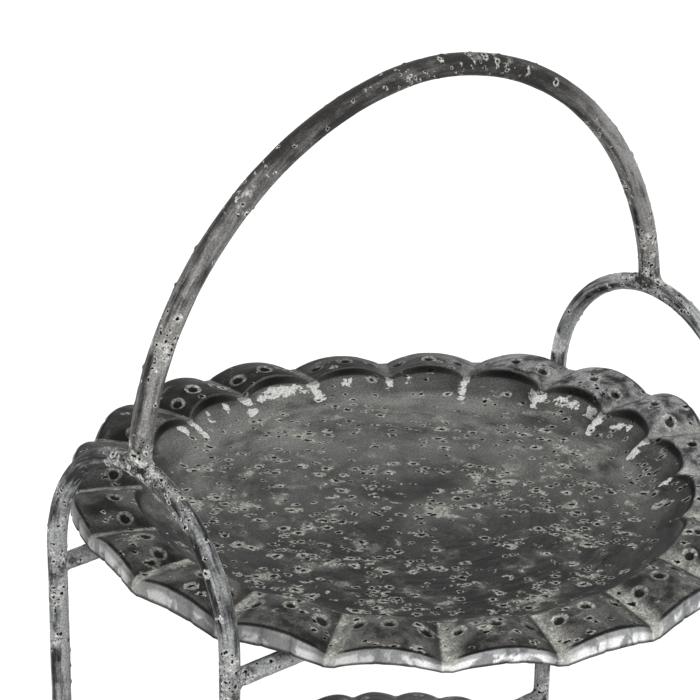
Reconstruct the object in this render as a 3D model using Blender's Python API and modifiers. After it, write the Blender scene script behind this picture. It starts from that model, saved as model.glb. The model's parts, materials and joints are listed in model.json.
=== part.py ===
"""Two-tier plant trolley: two tube end arches joined by four rails, with an arch handle over
the top, two round pie-crust trays and four swivel casters. Metres, +Z up, floor at z = 0."""

import math

import bmesh
import bpy
from mathutils import Matrix, Vector

# Frame tubes
TUBE_R = 0.00635
TUBE_WALL = 0.0012
TUBE_SIDES_RESOLUTION = 4
HANDLE_R = 0.0080
HALF_LENGTH = 0.230
HALF_WIDTH = 0.0925
ARCH_RISE = 0.098
ARCH_STEPS = 14
HANDLE_RISE = 0.212
HANDLE_POWER = 1.86
HANDLE_STEPS = 22
HANDLE_FLARE = ((0.004, 1.42), (0.010, 1.16))
GAP = 0.0003
NOTCH_LENGTH = 0.060
NOTCH_SIDES = 24

# Levels
UPPER_RIM_Z = 0.455
LOWER_RIM_Z = 0.1783
ARCH_APEX_Z = UPPER_RIM_Z + 0.0963
RAIL_DROP = 0.0144
LEG_END_Z = 0.0663

# Trays
SHEET = 0.0012
FLANGE_WIDTH = 0.039
UPPER_TRAY_R = 0.228
LOWER_TRAY_R = 0.193
UPPER_FLUTES = 20
LOWER_FLUTES = 36
UPPER_FLUTE_LIFT = 0.0085
LOWER_FLUTE_LIFT = 0.0035
UPPER_TRAY_X = 0.0035
UPPER_FLUTE_PHASES = (0.0, 0.28, 0.5, 0.72)
LOWER_FLUTE_PHASES = (0.0, 0.5)
WEB = 0.05
FLOOR_Z = -0.0065
BASE_SHARE = 0.835

# Casters
TRAIL = 0.017
WHEEL_R = 0.025
WHEEL_HALF_WIDTH = 0.0085
RIM_R = 0.0186
HUB_HALF_WIDTH = 0.0100
TYRE_R = 0.0189
RUNNING_CLEARANCE = 0.00012
TURNED_SIDES = 12
RACE_SIDES = 16
HUB_SIDES = 20
TYRE_SIDES = 24

FORK_TOP_Z = 0.0580
FORK_HALF_GAP = 0.0112
PLATE = 0.0020
PLATE_LENGTH = 0.0245
PLATE_MIDDLE_X = 0.00075
AXLE_BOSS_R = 0.0078
BOSS_START = 205.0
BOSS_STEP = 20.0
BOSS_POINTS = 9
PIN_HOLE_R = 0.0042
HOLE_LENGTH = 0.060
HOLE_SIDES = 16
BORE_CLEARANCE = 0.00018

STEM_R = 0.0035
STEM_TOP_Z = 0.0940
STEM_CHAMFER = (0.0008, 0.0020)
COLLAR_R = (0.0100, 0.0105)
COLLAR_Z = (0.0606, 0.0634)
RIVET_NECK_R = 0.0040
RIVET_R = (0.0065, 0.0058)
RIVET_HEIGHT = 0.0024
SOCKET_R = 0.0048
SOCKET_BORE_R = 0.0038
SOCKET_COLLAR_R = 0.0064
SOCKET_Z = (0.0637, 0.0660, 0.0980)
RACE_BORE_R = 0.0050
RACE_R = (0.0112, 0.0125)
RACE_TOP_Z = 0.0603

AXLE_R = 0.0030
BOLT_HEAD_R = (0.0040, 0.0052)
BOLT_HEAD_HEIGHT = (0.0010, 0.0022)
THREAD_STAND = 0.0046
NUT_R = 0.0055
NUT_HEIGHT = 0.0034

SHARP_DEGREES = 35.0

CHARCOAL = (0.075, 0.075, 0.080, 1.0)
WORN_STEEL = (0.170, 0.170, 0.175, 1.0)
PEWTER = (0.120, 0.120, 0.122, 1.0)
ZINC = (0.420, 0.420, 0.430, 1.0)
RUBBER = (0.030, 0.030, 0.032, 1.0)
NYLON = (0.050, 0.050, 0.052, 1.0)


def clear_scene():
    for old in list(bpy.data.objects):
        bpy.data.objects.remove(old, do_unlink=True)


def collection(name):
    group = bpy.data.collections.new(name)
    bpy.context.scene.collection.children.link(group)
    return group


def material(name, colour, roughness, metallic):
    made = bpy.data.materials.new(name)
    made.use_nodes = True
    shader = made.node_tree.nodes["Principled BSDF"]
    shader.inputs["Base Color"].default_value = colour
    shader.inputs["Roughness"].default_value = roughness
    shader.inputs["Metallic"].default_value = metallic
    return made


def place(name, mesh, look):
    """Put a mesh in a collection as one shaded part."""
    part = bpy.data.objects.new(name, mesh)
    PARTS.objects.link(part)
    mesh.materials.clear()
    mesh.materials.append(material(name, *look))
    mesh.shade_smooth()
    mesh.set_sharp_from_angle(angle=math.radians(SHARP_DEGREES))
    return part


def cutter(name, mesh, matrix=None):
    """A wire-drawn helper solid that only cuts or joins other parts."""
    tool = bpy.data.objects.new(name, mesh)
    CUTTERS.objects.link(tool)
    tool.hide_render = True
    tool.display_type = "WIRE"
    if matrix:
        tool.matrix_world = matrix
    return tool


def boolean(part, tool, operation="DIFFERENCE"):
    step = part.modifiers.new(tool.name, "BOOLEAN")
    step.operation = operation
    step.object = tool
    return step


def cylinder_mesh(radius, depth, segments):
    mesh = bpy.data.meshes.new("cylinder")
    work = bmesh.new()
    bmesh.ops.create_cone(
        work, cap_ends=True, segments=segments, radius1=radius, radius2=radius, depth=depth
    )
    work.to_mesh(mesh)
    work.free()
    return mesh


def box_mesh(size, centre):
    mesh = bpy.data.meshes.new("box")
    work = bmesh.new()
    bmesh.ops.create_cube(work, size=1.0)
    bmesh.ops.scale(work, vec=size, verts=work.verts)
    bmesh.ops.translate(work, vec=centre, verts=work.verts)
    work.to_mesh(mesh)
    work.free()
    return mesh


def turned_mesh(profile, segments, axis_matrix=None):
    """Turn a closed (radius, height) outline about +Z, or about the axis the matrix gives."""
    mesh = bpy.data.meshes.new("profile")
    points = [(radius, 0.0, height) for radius, height in profile]
    edges = [(i, (i + 1) % len(points)) for i in range(len(points))]
    mesh.from_pydata(points, edges, [])
    blank = bpy.data.objects.new("turning_blank", mesh)
    bpy.context.scene.collection.objects.link(blank)
    screw = blank.modifiers.new("turn", "SCREW")
    screw.steps = segments
    screw.render_steps = segments
    screw.use_merge_vertices = True
    screw.merge_threshold = 0.00001
    turned = evaluated_mesh(blank)
    if axis_matrix:
        turned.transform(axis_matrix)
    return turned


def evaluated_mesh(source):
    """Freeze an object's modifiers or curve into a new mesh and remove the source."""
    bpy.context.view_layer.update()
    depsgraph = bpy.context.evaluated_depsgraph_get()
    mesh = bpy.data.meshes.new_from_object(source.evaluated_get(depsgraph))
    bpy.data.objects.remove(source, do_unlink=True)
    return mesh


def tube_mesh(points, radius, flare=None):
    """An open-ended tube of TUBE_WALL swept along points; flare scales chosen points."""
    curve = bpy.data.curves.new("tube_path", "CURVE")
    curve.dimensions = "3D"
    curve.bevel_depth = radius
    curve.bevel_resolution = TUBE_SIDES_RESOLUTION
    spline = curve.splines.new("POLY")
    spline.points.add(len(points) - 1)
    for index, point in enumerate(points):
        spline.points[index].co = (*point, 1.0)
        spline.points[index].radius = flare[index] if flare else 1.0
    path = bpy.data.objects.new("tube_path", curve)
    bpy.context.scene.collection.objects.link(path)
    mesh = evaluated_mesh(path)
    work = bmesh.new()
    work.from_mesh(mesh)
    bmesh.ops.remove_doubles(work, verts=work.verts, dist=0.000001)
    bmesh.ops.recalc_face_normals(work, faces=work.faces)
    work.to_mesh(mesh)
    work.free()
    return mesh


def hollow(part):
    wall = part.modifiers.new("wall", "SOLIDIFY")
    wall.thickness = TUBE_WALL
    wall.offset = -1.0


def end_arch(name, x):
    """Both legs and the arch of one end: a single bent tube, open at the feet."""
    spring_z = ARCH_APEX_Z - ARCH_RISE
    points = [(x, -HALF_WIDTH, LEG_END_Z)]
    for step in range(ARCH_STEPS + 1):
        turn = math.pi * (1.0 - step / ARCH_STEPS)
        y = HALF_WIDTH * math.cos(turn)
        points.append((x, y, spring_z + ARCH_RISE * math.sin(turn)))
    points.append((x, HALF_WIDTH, LEG_END_Z))
    part = place(name, tube_mesh(points, TUBE_R), (CHARCOAL, 0.50, 0.85))
    hollow(part)


def handle_points():
    """A slightly pointed half-ellipse from one arch's top to the other's."""
    points = []
    for step in range(HANDLE_STEPS + 1):
        turn = math.pi * (1.0 - step / HANDLE_STEPS)
        along = abs(math.cos(turn)) ** (2.0 / HANDLE_POWER)
        up = math.sin(turn) ** (2.0 / HANDLE_POWER) if 0 < step < HANDLE_STEPS else 0.0
        x = math.copysign(HALF_LENGTH * along, math.cos(turn))
        points.append((x, 0.0, ARCH_APEX_Z + HANDLE_RISE * up))
    return points


def handle_arch():
    """The carrying arch, with flared feet notched over the end arches."""
    points = handle_points()
    feet = [
        (points[0][0], 0.0, ARCH_APEX_Z + height + TUBE_R * 0.2) for height, _ in HANDLE_FLARE
    ]
    other = [(-x, y, z) for x, y, z in reversed(feet)]
    scales = [scale for _, scale in HANDLE_FLARE]
    inner = [point for point in points if point[2] > feet[-1][2] + 0.006]
    path = feet + inner + other
    flare = scales + [1.0] * len(inner) + scales[::-1]
    part = place("handle_arch", tube_mesh(path, HANDLE_R, flare), (PEWTER, 0.45, 0.85))
    hollow(part)
    for side in (-1, 1):
        across = Matrix.Rotation(math.pi / 2, 4, "X")
        at = Matrix.Translation((side * HALF_LENGTH, 0.0, ARCH_APEX_Z))
        notch = cylinder_mesh(TUBE_R + GAP, NOTCH_LENGTH, NOTCH_SIDES)
        boolean(part, cutter(f"handle_notch_{side_word(side)}", notch, at @ across))


def side_word(side):
    return "left" if side < 0 else "right"


def face_word(side):
    return "front" if side < 0 else "back"


def rail(name, y, z):
    """A tray rail between the two end arches, its ends notched round the legs."""
    reach = HALF_LENGTH - TUBE_R * 0.4
    part = place(
        name, tube_mesh([(-reach, y, z), (reach, y, z)], TUBE_R * 0.96), (CHARCOAL, 0.50, 0.85)
    )
    hollow(part)
    for side in (-1, 1):
        at = Matrix.Translation((side * HALF_LENGTH, y, z))
        notch = cylinder_mesh(TUBE_R + GAP, NOTCH_LENGTH, NOTCH_SIDES)
        boolean(part, cutter(f"{name}_notch_{side_word(side)}", notch, at))


def flute_weight(phase):
    """0 along the narrow web between two flutes, rising to 1 on the crest of a flute."""
    inside = (phase - WEB) / (1.0 - 2.0 * WEB)
    if inside <= 0.0 or inside >= 1.0:
        return 0.0
    return math.sin(math.pi * inside)


def tray_profile(rim_radius, lift):
    """(radius, height) pairs from the floor to the skirt: along a web, and along a crest."""
    inner = rim_radius - FLANGE_WIDTH
    floor_r = inner * BASE_SHARE
    return (
        ((floor_r, FLOOR_Z), (floor_r, FLOOR_Z)),
        ((floor_r + 0.008, FLOOR_Z + 0.0009), (floor_r + 0.008, FLOOR_Z + 0.0009)),
        ((inner - 0.0035, 0.0065), (inner + 0.0015, 0.0065 + 0.2 * lift)),
        ((inner, 0.0095), (inner + 0.0035, 0.0095 + 0.7 * lift)),
        ((inner + 0.019, 0.0052), (inner + 0.020, 0.0052 + 1.1 * lift)),
        ((rim_radius, 0.0), (rim_radius + 0.001, lift)),
        ((rim_radius + 0.003, -0.0018), (rim_radius + 0.004, -0.0018 + 0.9 * lift)),
        ((rim_radius + 0.0045, -0.0072), (rim_radius + 0.0038, -0.0072 + 0.5 * lift)),
    )


def tray(name, rim_radius, flutes, phases, lift, centre):
    """A pressed sheet tray: flat floor, sloping wall, fluted flange and turned-down skirt."""
    work = bmesh.new()
    rings = []
    for web_point, crest_point in tray_profile(rim_radius, lift):
        ring = []
        for flute in range(flutes):
            for phase in phases:
                weight = flute_weight(phase)
                radius = web_point[0] + weight * (crest_point[0] - web_point[0])
                height = web_point[1] + weight * (crest_point[1] - web_point[1])
                turn = 2.0 * math.pi * (flute + phase) / flutes
                ring.append(
                    work.verts.new((radius * math.cos(turn), radius * math.sin(turn), height))
                )
        rings.append(ring)
    work.faces.new(rings[0])
    for low, high in zip(rings, rings[1:]):
        for index in range(len(low)):
            after = (index + 1) % len(low)
            work.faces.new((low[index], high[index], high[after], low[after]))
    mesh = bpy.data.meshes.new(name)
    work.to_mesh(mesh)
    work.free()
    part = place(name, mesh, (WORN_STEEL, 0.45, 0.80))
    part.location = centre
    sheet = part.modifiers.new("sheet", "SOLIDIFY")
    sheet.thickness = SHEET
    sheet.offset = -1.0


def fork_outline():
    """Cheek outline in the trail-height plane, from the plate down round the axle boss."""
    points = [(-0.0115, FORK_TOP_Z), (-0.0115, FORK_TOP_Z - 0.009)]
    for step in range(BOSS_POINTS):
        turn = math.radians(BOSS_START + step * BOSS_STEP)
        points.append((TRAIL + AXLE_BOSS_R * math.cos(turn), WHEEL_R + AXLE_BOSS_R * math.sin(turn)))
    points.append((0.0170, FORK_TOP_Z - 0.006))
    points.append((0.0130, FORK_TOP_Z))
    return points


def cheek_mesh(y):
    """One side cheek of the fork: its outline extruded to the plate thickness."""
    curve = bpy.data.curves.new("cheek_outline", "CURVE")
    curve.dimensions = "2D"
    curve.fill_mode = "BOTH"
    curve.extrude = PLATE / 2
    outline = fork_outline()
    spline = curve.splines.new("POLY")
    spline.points.add(len(outline) - 1)
    for index, (along, up) in enumerate(outline):
        spline.points[index].co = (along, up, 0.0, 1.0)
    spline.use_cyclic_u = True
    shape = bpy.data.objects.new("cheek_outline", curve)
    bpy.context.scene.collection.objects.link(shape)
    mesh = evaluated_mesh(shape)
    work = bmesh.new()
    work.from_mesh(mesh)
    bmesh.ops.remove_doubles(work, verts=work.verts, dist=0.000001)
    bmesh.ops.recalc_face_normals(work, faces=work.faces)
    work.to_mesh(mesh)
    work.free()
    mesh.transform(Matrix.Translation((0.0, y, 0.0)) @ Matrix.Rotation(math.pi / 2, 4, "X"))
    return mesh


def held(name, mesh, look, holder):
    part = place(name, mesh, look)
    part.parent = holder
    return part


def held_cutter(name, mesh, holder, matrix=None):
    tool = cutter(name, mesh, matrix)
    tool.parent = holder
    return tool


def marker(name, location, turn, holder=None):
    """An empty that carries parts and their cutters to their place on a leg."""
    empty = bpy.data.objects.new(name, None)
    PARTS.objects.link(empty)
    empty.parent = holder
    empty.location = location
    empty.rotation_euler.z = turn
    return empty


def socket_and_stem(corner, kingpin):
    """The push-in sleeve in the leg's end, and the kingpin turned in one with its collar."""
    low, shoulder, top = SOCKET_Z
    socket = ((SOCKET_R, top), (SOCKET_R, shoulder), (SOCKET_COLLAR_R, shoulder),
              (SOCKET_COLLAR_R, low), (SOCKET_BORE_R, low), (SOCKET_BORE_R, top))
    held(f"leg_socket_{corner}", turned_mesh(socket, TURNED_SIDES), (NYLON, 0.55, 0.0), kingpin)
    rivet_top = FORK_TOP_Z - PLATE - GAP
    rivet_low = rivet_top - RIVET_HEIGHT
    stem = ((0.0, STEM_TOP_Z), (STEM_R - STEM_CHAMFER[0], STEM_TOP_Z),
            (STEM_R, STEM_TOP_Z - STEM_CHAMFER[1]), (STEM_R, COLLAR_Z[1]),
            (COLLAR_R[0], COLLAR_Z[1]), (COLLAR_R[1], COLLAR_Z[0]), (RIVET_NECK_R, COLLAR_Z[0]),
            (RIVET_NECK_R, rivet_top), (RIVET_R[0], rivet_top), (RIVET_R[1], rivet_low),
            (0.0, rivet_low))
    held(f"caster_stem_{corner}", turned_mesh(stem, TURNED_SIDES), (ZINC, 0.35, 0.9), kingpin)


def race_and_fork(corner, kingpin, sideways):
    """The swivel ring and the pressed fork: two cheeks and a plate, drilled for pin and axle."""
    low = FORK_TOP_Z + GAP
    race = ((RACE_BORE_R, RACE_TOP_Z), (RACE_R[0], RACE_TOP_Z), (RACE_R[1], low),
            (RACE_BORE_R, low))
    held(f"swivel_race_{corner}", turned_mesh(race, RACE_SIDES), (ZINC, 0.35, 0.9), kingpin)
    cheek_y = FORK_HALF_GAP + PLATE / 2
    fork = held(f"fork_{corner}", cheek_mesh(cheek_y), (ZINC, 0.40, 0.9), kingpin)
    size = (PLATE_LENGTH, 2.0 * (FORK_HALF_GAP + PLATE), PLATE)
    plate = box_mesh(size, (PLATE_MIDDLE_X, 0.0, FORK_TOP_Z - PLATE / 2))
    boolean(fork, held_cutter(f"far_cheek_{corner}", cheek_mesh(-cheek_y), kingpin), "UNION")
    boolean(fork, held_cutter(f"fork_plate_{corner}", plate, kingpin), "UNION")
    pin_hole = cylinder_mesh(PIN_HOLE_R, HOLE_LENGTH, HOLE_SIDES)
    boolean(fork, held_cutter(f"pin_hole_{corner}", pin_hole, kingpin,
                              Matrix.Translation((0.0, 0.0, FORK_TOP_Z))))
    axle_hole = cylinder_mesh(AXLE_R + BORE_CLEARANCE, HOLE_LENGTH, HOLE_SIDES)
    boolean(fork, held_cutter(f"axle_hole_{corner}", axle_hole, kingpin,
                              Matrix.Translation((TRAIL, 0.0, WHEEL_R)) @ sideways))


def bolt_and_nut(corner, axle, sideways):
    """A domed axle bolt through both cheeks and the plain hexagon nut on its far end."""
    face = FORK_HALF_GAP + PLATE + GAP
    bolt = ((0.0, face + BOLT_HEAD_HEIGHT[1]), (BOLT_HEAD_R[0], face + BOLT_HEAD_HEIGHT[1]),
            (BOLT_HEAD_R[1], face + BOLT_HEAD_HEIGHT[0]), (BOLT_HEAD_R[1], face),
            (AXLE_R, face), (AXLE_R, -face - THREAD_STAND), (0.0, -face - THREAD_STAND))
    held(f"axle_bolt_{corner}", turned_mesh(bolt, TURNED_SIDES, sideways), (ZINC, 0.30, 0.9), axle)
    at = Matrix.Translation((0.0, -face - NUT_HEIGHT / 2, 0.0)) @ sideways
    nut = cylinder_mesh(NUT_R, NUT_HEIGHT, 6)
    nut.transform(at)
    part = held(f"axle_nut_{corner}", nut, (ZINC, 0.30, 0.9), axle)
    bore = cylinder_mesh(AXLE_R + BORE_CLEARANCE, HOLE_LENGTH, HOLE_SIDES)
    boolean(part, held_cutter(f"nut_bore_{corner}", bore, axle, at))


def wheel(corner, axle, sideways):
    """A dished hub with its tyre; both outlines are the same on either side of the middle."""
    half = [(AXLE_R + RUNNING_CLEARANCE, HUB_HALF_WIDTH), (0.0062, HUB_HALF_WIDTH),
            (0.0075, 0.0040), (0.0148, 0.0032), (0.0160, 0.0072), (RIM_R, 0.0072)]
    hub = half + [(radius, -height) for radius, height in reversed(half)]
    held(f"wheel_hub_{corner}", turned_mesh(hub, HUB_SIDES, sideways), (NYLON, 0.50, 0.0), axle)
    half = [(TYRE_R, 0.0072), (0.0222, WHEEL_HALF_WIDTH), (0.0243, 0.0068), (WHEEL_R, 0.0034)]
    tyre = half + [(radius, -height) for radius, height in reversed(half)]
    held(f"wheel_tyre_{corner}", turned_mesh(tyre, TYRE_SIDES, sideways), (RUBBER, 0.80, 0.0), axle)


def caster(corner, x, y):
    """One swivel caster under a leg, built trailing along local +X and turned to trail to +Y.
    The axle is turned end for end on the right side, so every bolt head faces outwards."""
    kingpin = marker(f"kingpin_{corner}", (x, y, 0.0), math.pi / 2)
    axle = marker(f"axle_line_{corner}", (TRAIL, 0.0, WHEEL_R), math.pi if x > 0.0 else 0.0, kingpin)
    sideways = Matrix.Rotation(-math.pi / 2, 4, "X")
    socket_and_stem(corner, kingpin)
    race_and_fork(corner, kingpin, sideways)
    bolt_and_nut(corner, axle, sideways)
    wheel(corner, axle, sideways)


def build():
    for side in (-1, 1):
        end_arch(f"end_arch_{side_word(side)}", side * HALF_LENGTH)
    handle_arch()
    for tier, rim in (("upper", UPPER_RIM_Z), ("lower", LOWER_RIM_Z)):
        for side in (-1, 1):
            rail(f"{tier}_rail_{face_word(side)}", side * HALF_WIDTH, rim - RAIL_DROP)
    tray("upper_tray", UPPER_TRAY_R, UPPER_FLUTES, UPPER_FLUTE_PHASES, UPPER_FLUTE_LIFT,
         Vector((UPPER_TRAY_X, 0.0, UPPER_RIM_Z)))
    tray("lower_tray", LOWER_TRAY_R, LOWER_FLUTES, LOWER_FLUTE_PHASES, LOWER_FLUTE_LIFT,
         Vector((0.0, 0.0, LOWER_RIM_Z)))
    for across in (-1, 1):
        for along in (-1, 1):
            corner = f"{face_word(across)}_{side_word(along)}"
            caster(corner, along * HALF_LENGTH, across * HALF_WIDTH)


clear_scene()
PARTS = collection("plant_trolley")
CUTTERS = collection("cutters")
build()
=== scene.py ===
"""Visual model of a two-tier plant trolley: worn tubes, two fluted trays and four casters.
Metres, +Z up. The frame's and trays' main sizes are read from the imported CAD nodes."""

import json
import math

import bmesh
import bpy
import numpy as np
from mathutils import Matrix, Vector

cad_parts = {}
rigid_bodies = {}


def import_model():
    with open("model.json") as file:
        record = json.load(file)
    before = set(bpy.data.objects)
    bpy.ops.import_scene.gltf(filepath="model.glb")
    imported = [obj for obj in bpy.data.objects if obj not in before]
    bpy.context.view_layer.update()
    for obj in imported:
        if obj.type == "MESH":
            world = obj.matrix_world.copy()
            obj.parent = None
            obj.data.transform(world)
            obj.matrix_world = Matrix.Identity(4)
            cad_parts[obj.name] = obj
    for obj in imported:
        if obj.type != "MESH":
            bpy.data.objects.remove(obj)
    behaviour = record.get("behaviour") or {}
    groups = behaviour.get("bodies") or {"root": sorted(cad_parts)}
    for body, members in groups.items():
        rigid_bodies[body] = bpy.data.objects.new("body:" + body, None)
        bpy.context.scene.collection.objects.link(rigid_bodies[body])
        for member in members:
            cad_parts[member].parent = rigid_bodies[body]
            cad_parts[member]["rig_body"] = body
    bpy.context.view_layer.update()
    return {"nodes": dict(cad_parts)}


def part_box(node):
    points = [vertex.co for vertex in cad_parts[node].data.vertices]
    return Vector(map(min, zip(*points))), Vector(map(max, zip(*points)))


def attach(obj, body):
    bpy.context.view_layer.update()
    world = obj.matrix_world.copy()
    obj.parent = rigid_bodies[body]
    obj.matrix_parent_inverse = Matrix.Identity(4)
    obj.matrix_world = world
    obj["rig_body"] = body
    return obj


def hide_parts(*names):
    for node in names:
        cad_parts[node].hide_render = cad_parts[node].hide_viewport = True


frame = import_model()
MM = 0.001

# Tubes
TUBE_WALL = 1.2 * MM
TUBE_SIDES = 40
HANDLE_SIDES = 48
ROW_STEP = 1.3 * MM
HANDLE_FOOT_FLARE = 1.42
HANDLE_POWER = 1.86
ARCH_RISE = 98.0 * MM

# Trays
SHEET = 1.2 * MM
FLOOR_DROP = 6.5 * MM
FLANGE_WIDTH = 39.0 * MM
SKIRT_STAND = 4.5 * MM
BASE_SHARE = 0.835
WEB = 0.05

# Casters, in mm
WHEEL_R = 25.0
TRAIL = 17.0
FORK_TOP_Z = 58.0
FORK_HALF_GAP = 11.2
PLATE = 2.0
GAP = 0.3
FOLD_R = 1.4
EDGE_R = 0.3
SOCKET_TOP_Z = 98.0
HUB_RIBS = 8
CORNERS = ("front_left", "front_right", "back_left", "back_right")


def middle(node):
    low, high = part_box(node)
    return (low + high) / 2


def size(node):
    low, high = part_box(node)
    return high - low


TUBE_R = size("end_arch_left").x / 2
HALF_LENGTH = (middle("end_arch_right").x - middle("end_arch_left").x) / 2
HALF_WIDTH = size("end_arch_left").y / 2 - TUBE_R
LEG_END_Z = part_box("end_arch_left")[0].z
ARCH_APEX_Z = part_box("end_arch_left")[1].z - TUBE_R
HANDLE_R = size("handle_arch").y / 2 / HANDLE_FOOT_FLARE
HANDLE_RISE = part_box("handle_arch")[1].z - HANDLE_R - ARCH_APEX_Z
RAIL_R = size("upper_rail_front").y / 2


# ---------------------------------------------------------------- shapes

def ripple(points, wavelength, seed):
    """Smooth unevenness between about -1 and 1 at each (n, k) point."""
    points = np.asarray(points, float)
    chance = np.random.default_rng(seed)
    total = np.zeros(points.shape[:-1])
    for _ in range(7):
        way = chance.normal(size=points.shape[-1])
        way *= 2.0 * math.pi / (wavelength * chance.uniform(0.7, 1.5) * np.linalg.norm(way))
        total += np.sin(points @ way + chance.uniform(0.0, 2.0 * math.pi))
    return total / 3.2


def smoothstep(value, low, high):
    share = np.clip((value - low) / (high - low), 0.0, 1.0)
    return share * share * (3.0 - 2.0 * share)


def between(value, start, full, fade, end):
    """Rises from 0 at start to 1 at full, and falls from 1 at fade to 0 at end."""
    return smoothstep(value, start, full) * (1.0 - smoothstep(value, fade, end))


def ring_numbers(rows, columns):
    """The vertex numbers of each row of a grid that closes on itself."""
    return np.arange(rows * columns).reshape(rows, columns).tolist()


def band(first, second):
    """Quads between two closed rings of vertex numbers."""
    return list(zip(first, second, second[1:] + second[:1], first[1:] + first[:1]))


def fan(ring, tip):
    """Triangles from a closed ring of vertex numbers to one vertex."""
    return [(a, b, tip) for a, b in zip(ring, ring[1:] + ring[:1])]


def new_mesh(name, verts, faces):
    mesh = bpy.data.meshes.new(name)
    mesh.from_pydata(np.asarray(verts).tolist(), [], faces)
    mesh.update()
    return mesh


def face_outwards(mesh):
    work = bmesh.new()
    work.from_mesh(mesh)
    bmesh.ops.recalc_face_normals(work, faces=work.faces)
    work.to_mesh(mesh)
    work.free()


def add_points(mesh, name, values):
    """Store one number, or one vector, for each vertex."""
    values = np.asarray(values, np.float32)
    vector = values.ndim == 2
    layer = mesh.attributes.new(name, "FLOAT_VECTOR" if vector else "FLOAT", "POINT")
    layer.data.foreach_set("vector" if vector else "value", values.ravel())


def add_corners(mesh, name, values):
    layer = mesh.attributes.new(name, "FLOAT_VECTOR", "CORNER")
    layer.data.foreach_set("vector", np.asarray(values, np.float32).ravel())


def soften(mesh, degrees=40.0):
    mesh.shade_smooth()
    mesh.set_sharp_from_angle(angle=math.radians(degrees))
    return mesh


def add_object(name, data):
    made = bpy.data.objects.new(name, data)
    bpy.context.scene.collection.objects.link(made)
    return made


# One material for each slot, filled in once all of them are made.
LOOKS = {}


def piece(name, mesh, node, slot, place=None):
    """Show a mesh in place of a CAD node, riding on that node's body."""
    made = add_object(name, mesh)
    if place is not None:
        made.matrix_world = place
        bpy.context.view_layer.update()
    if not mesh.materials:
        mesh.materials.append(LOOKS[slot])
    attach(made, frame["nodes"][node]["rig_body"])
    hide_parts(node)
    return made


# ---------------------------------------------------------------- tubes

# How far round its host tube a weld's fillet reaches.
WELD_WRAP = math.radians(78.0)
# How far the bore of an open tube end is modelled.
BORE_DEPTH = 7.0 * MM
# Each tube's coordinates for wear are this much further along, so that no two wear alike.
SKIN_STEP = 0.37
# The least painted light on any side of a tube, from 0 to 1.
PAINTED_LIGHT_LEAST = 0.38


def lengths_along(path):
    return np.concatenate([[0.0], np.cumsum(np.linalg.norm(np.diff(path, axis=0), axis=1))])


def resample(path, step):
    path = np.asarray(path, float)
    along = lengths_along(path)
    places = np.linspace(0.0, along[-1], max(2, int(round(along[-1] / step))) + 1)
    return np.stack([np.interp(places, along, path[:, k]) for k in range(3)], axis=1)


def weld_rows(ring, host, along, out, host_r, reach, bend, seed):
    """Rows that carry a tube's end ring down into a fillet spread over the host tube.
    host is where the axes meet, along the host's direction, out the tube's."""
    along, out = np.array(along, float), np.array(out, float)
    across = np.cross(along, out)
    spokes = ring - host
    stand = (spokes @ out)[:, None]
    spokes = spokes - stand * out
    radius = np.linalg.norm(spokes, axis=1)[:, None]
    run = (spokes @ along)[:, None] / radius
    swing = (spokes @ across)[:, None] / radius
    reach_here = np.where(run < 0.0, reach[0], reach[1])
    offset = run * reach_here
    turn = swing * WELD_WRAP
    drop = offset ** 2 / (2.0 * bend)
    foot = (host + along * offset + across * host_r * np.sin(turn)
            + out * (host_r * np.cos(turn) - drop))
    outward = (along * run * reach_here * 0.5
               + (across * np.cos(turn) - out * np.sin(turn)) * swing * host_r * 0.6)
    first = ring - out * (stand - host_r) * 0.75
    second = foot - outward + out * 0.4 * MM
    rows = []
    for step in range(1, 13):
        t = step / 12.0
        row = ((1 - t) ** 3 * ring + 3 * (1 - t) ** 2 * t * first
               + 3 * (1 - t) * t ** 2 * second + t ** 3 * foot)
        spread = math.sin(math.pi * t)
        lump = ripple(row, 7.0 * MM, seed)[:, None] * 0.35 * MM * spread
        rows.append(row + (spokes / radius + out) * lump)
    rows.append(foot - out * 1.5 * MM)
    return rows


def extended(rows, marks, head, tail, step):
    """The rows with others before and after them, and their marks carried on by equal steps."""
    before = [marks[0] - step * (len(head) - k) for k in range(len(head))]
    after = [marks[-1] + step * (k + 1) for k in range(len(tail))]
    return head + rows + tail, before + marks + after


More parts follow.
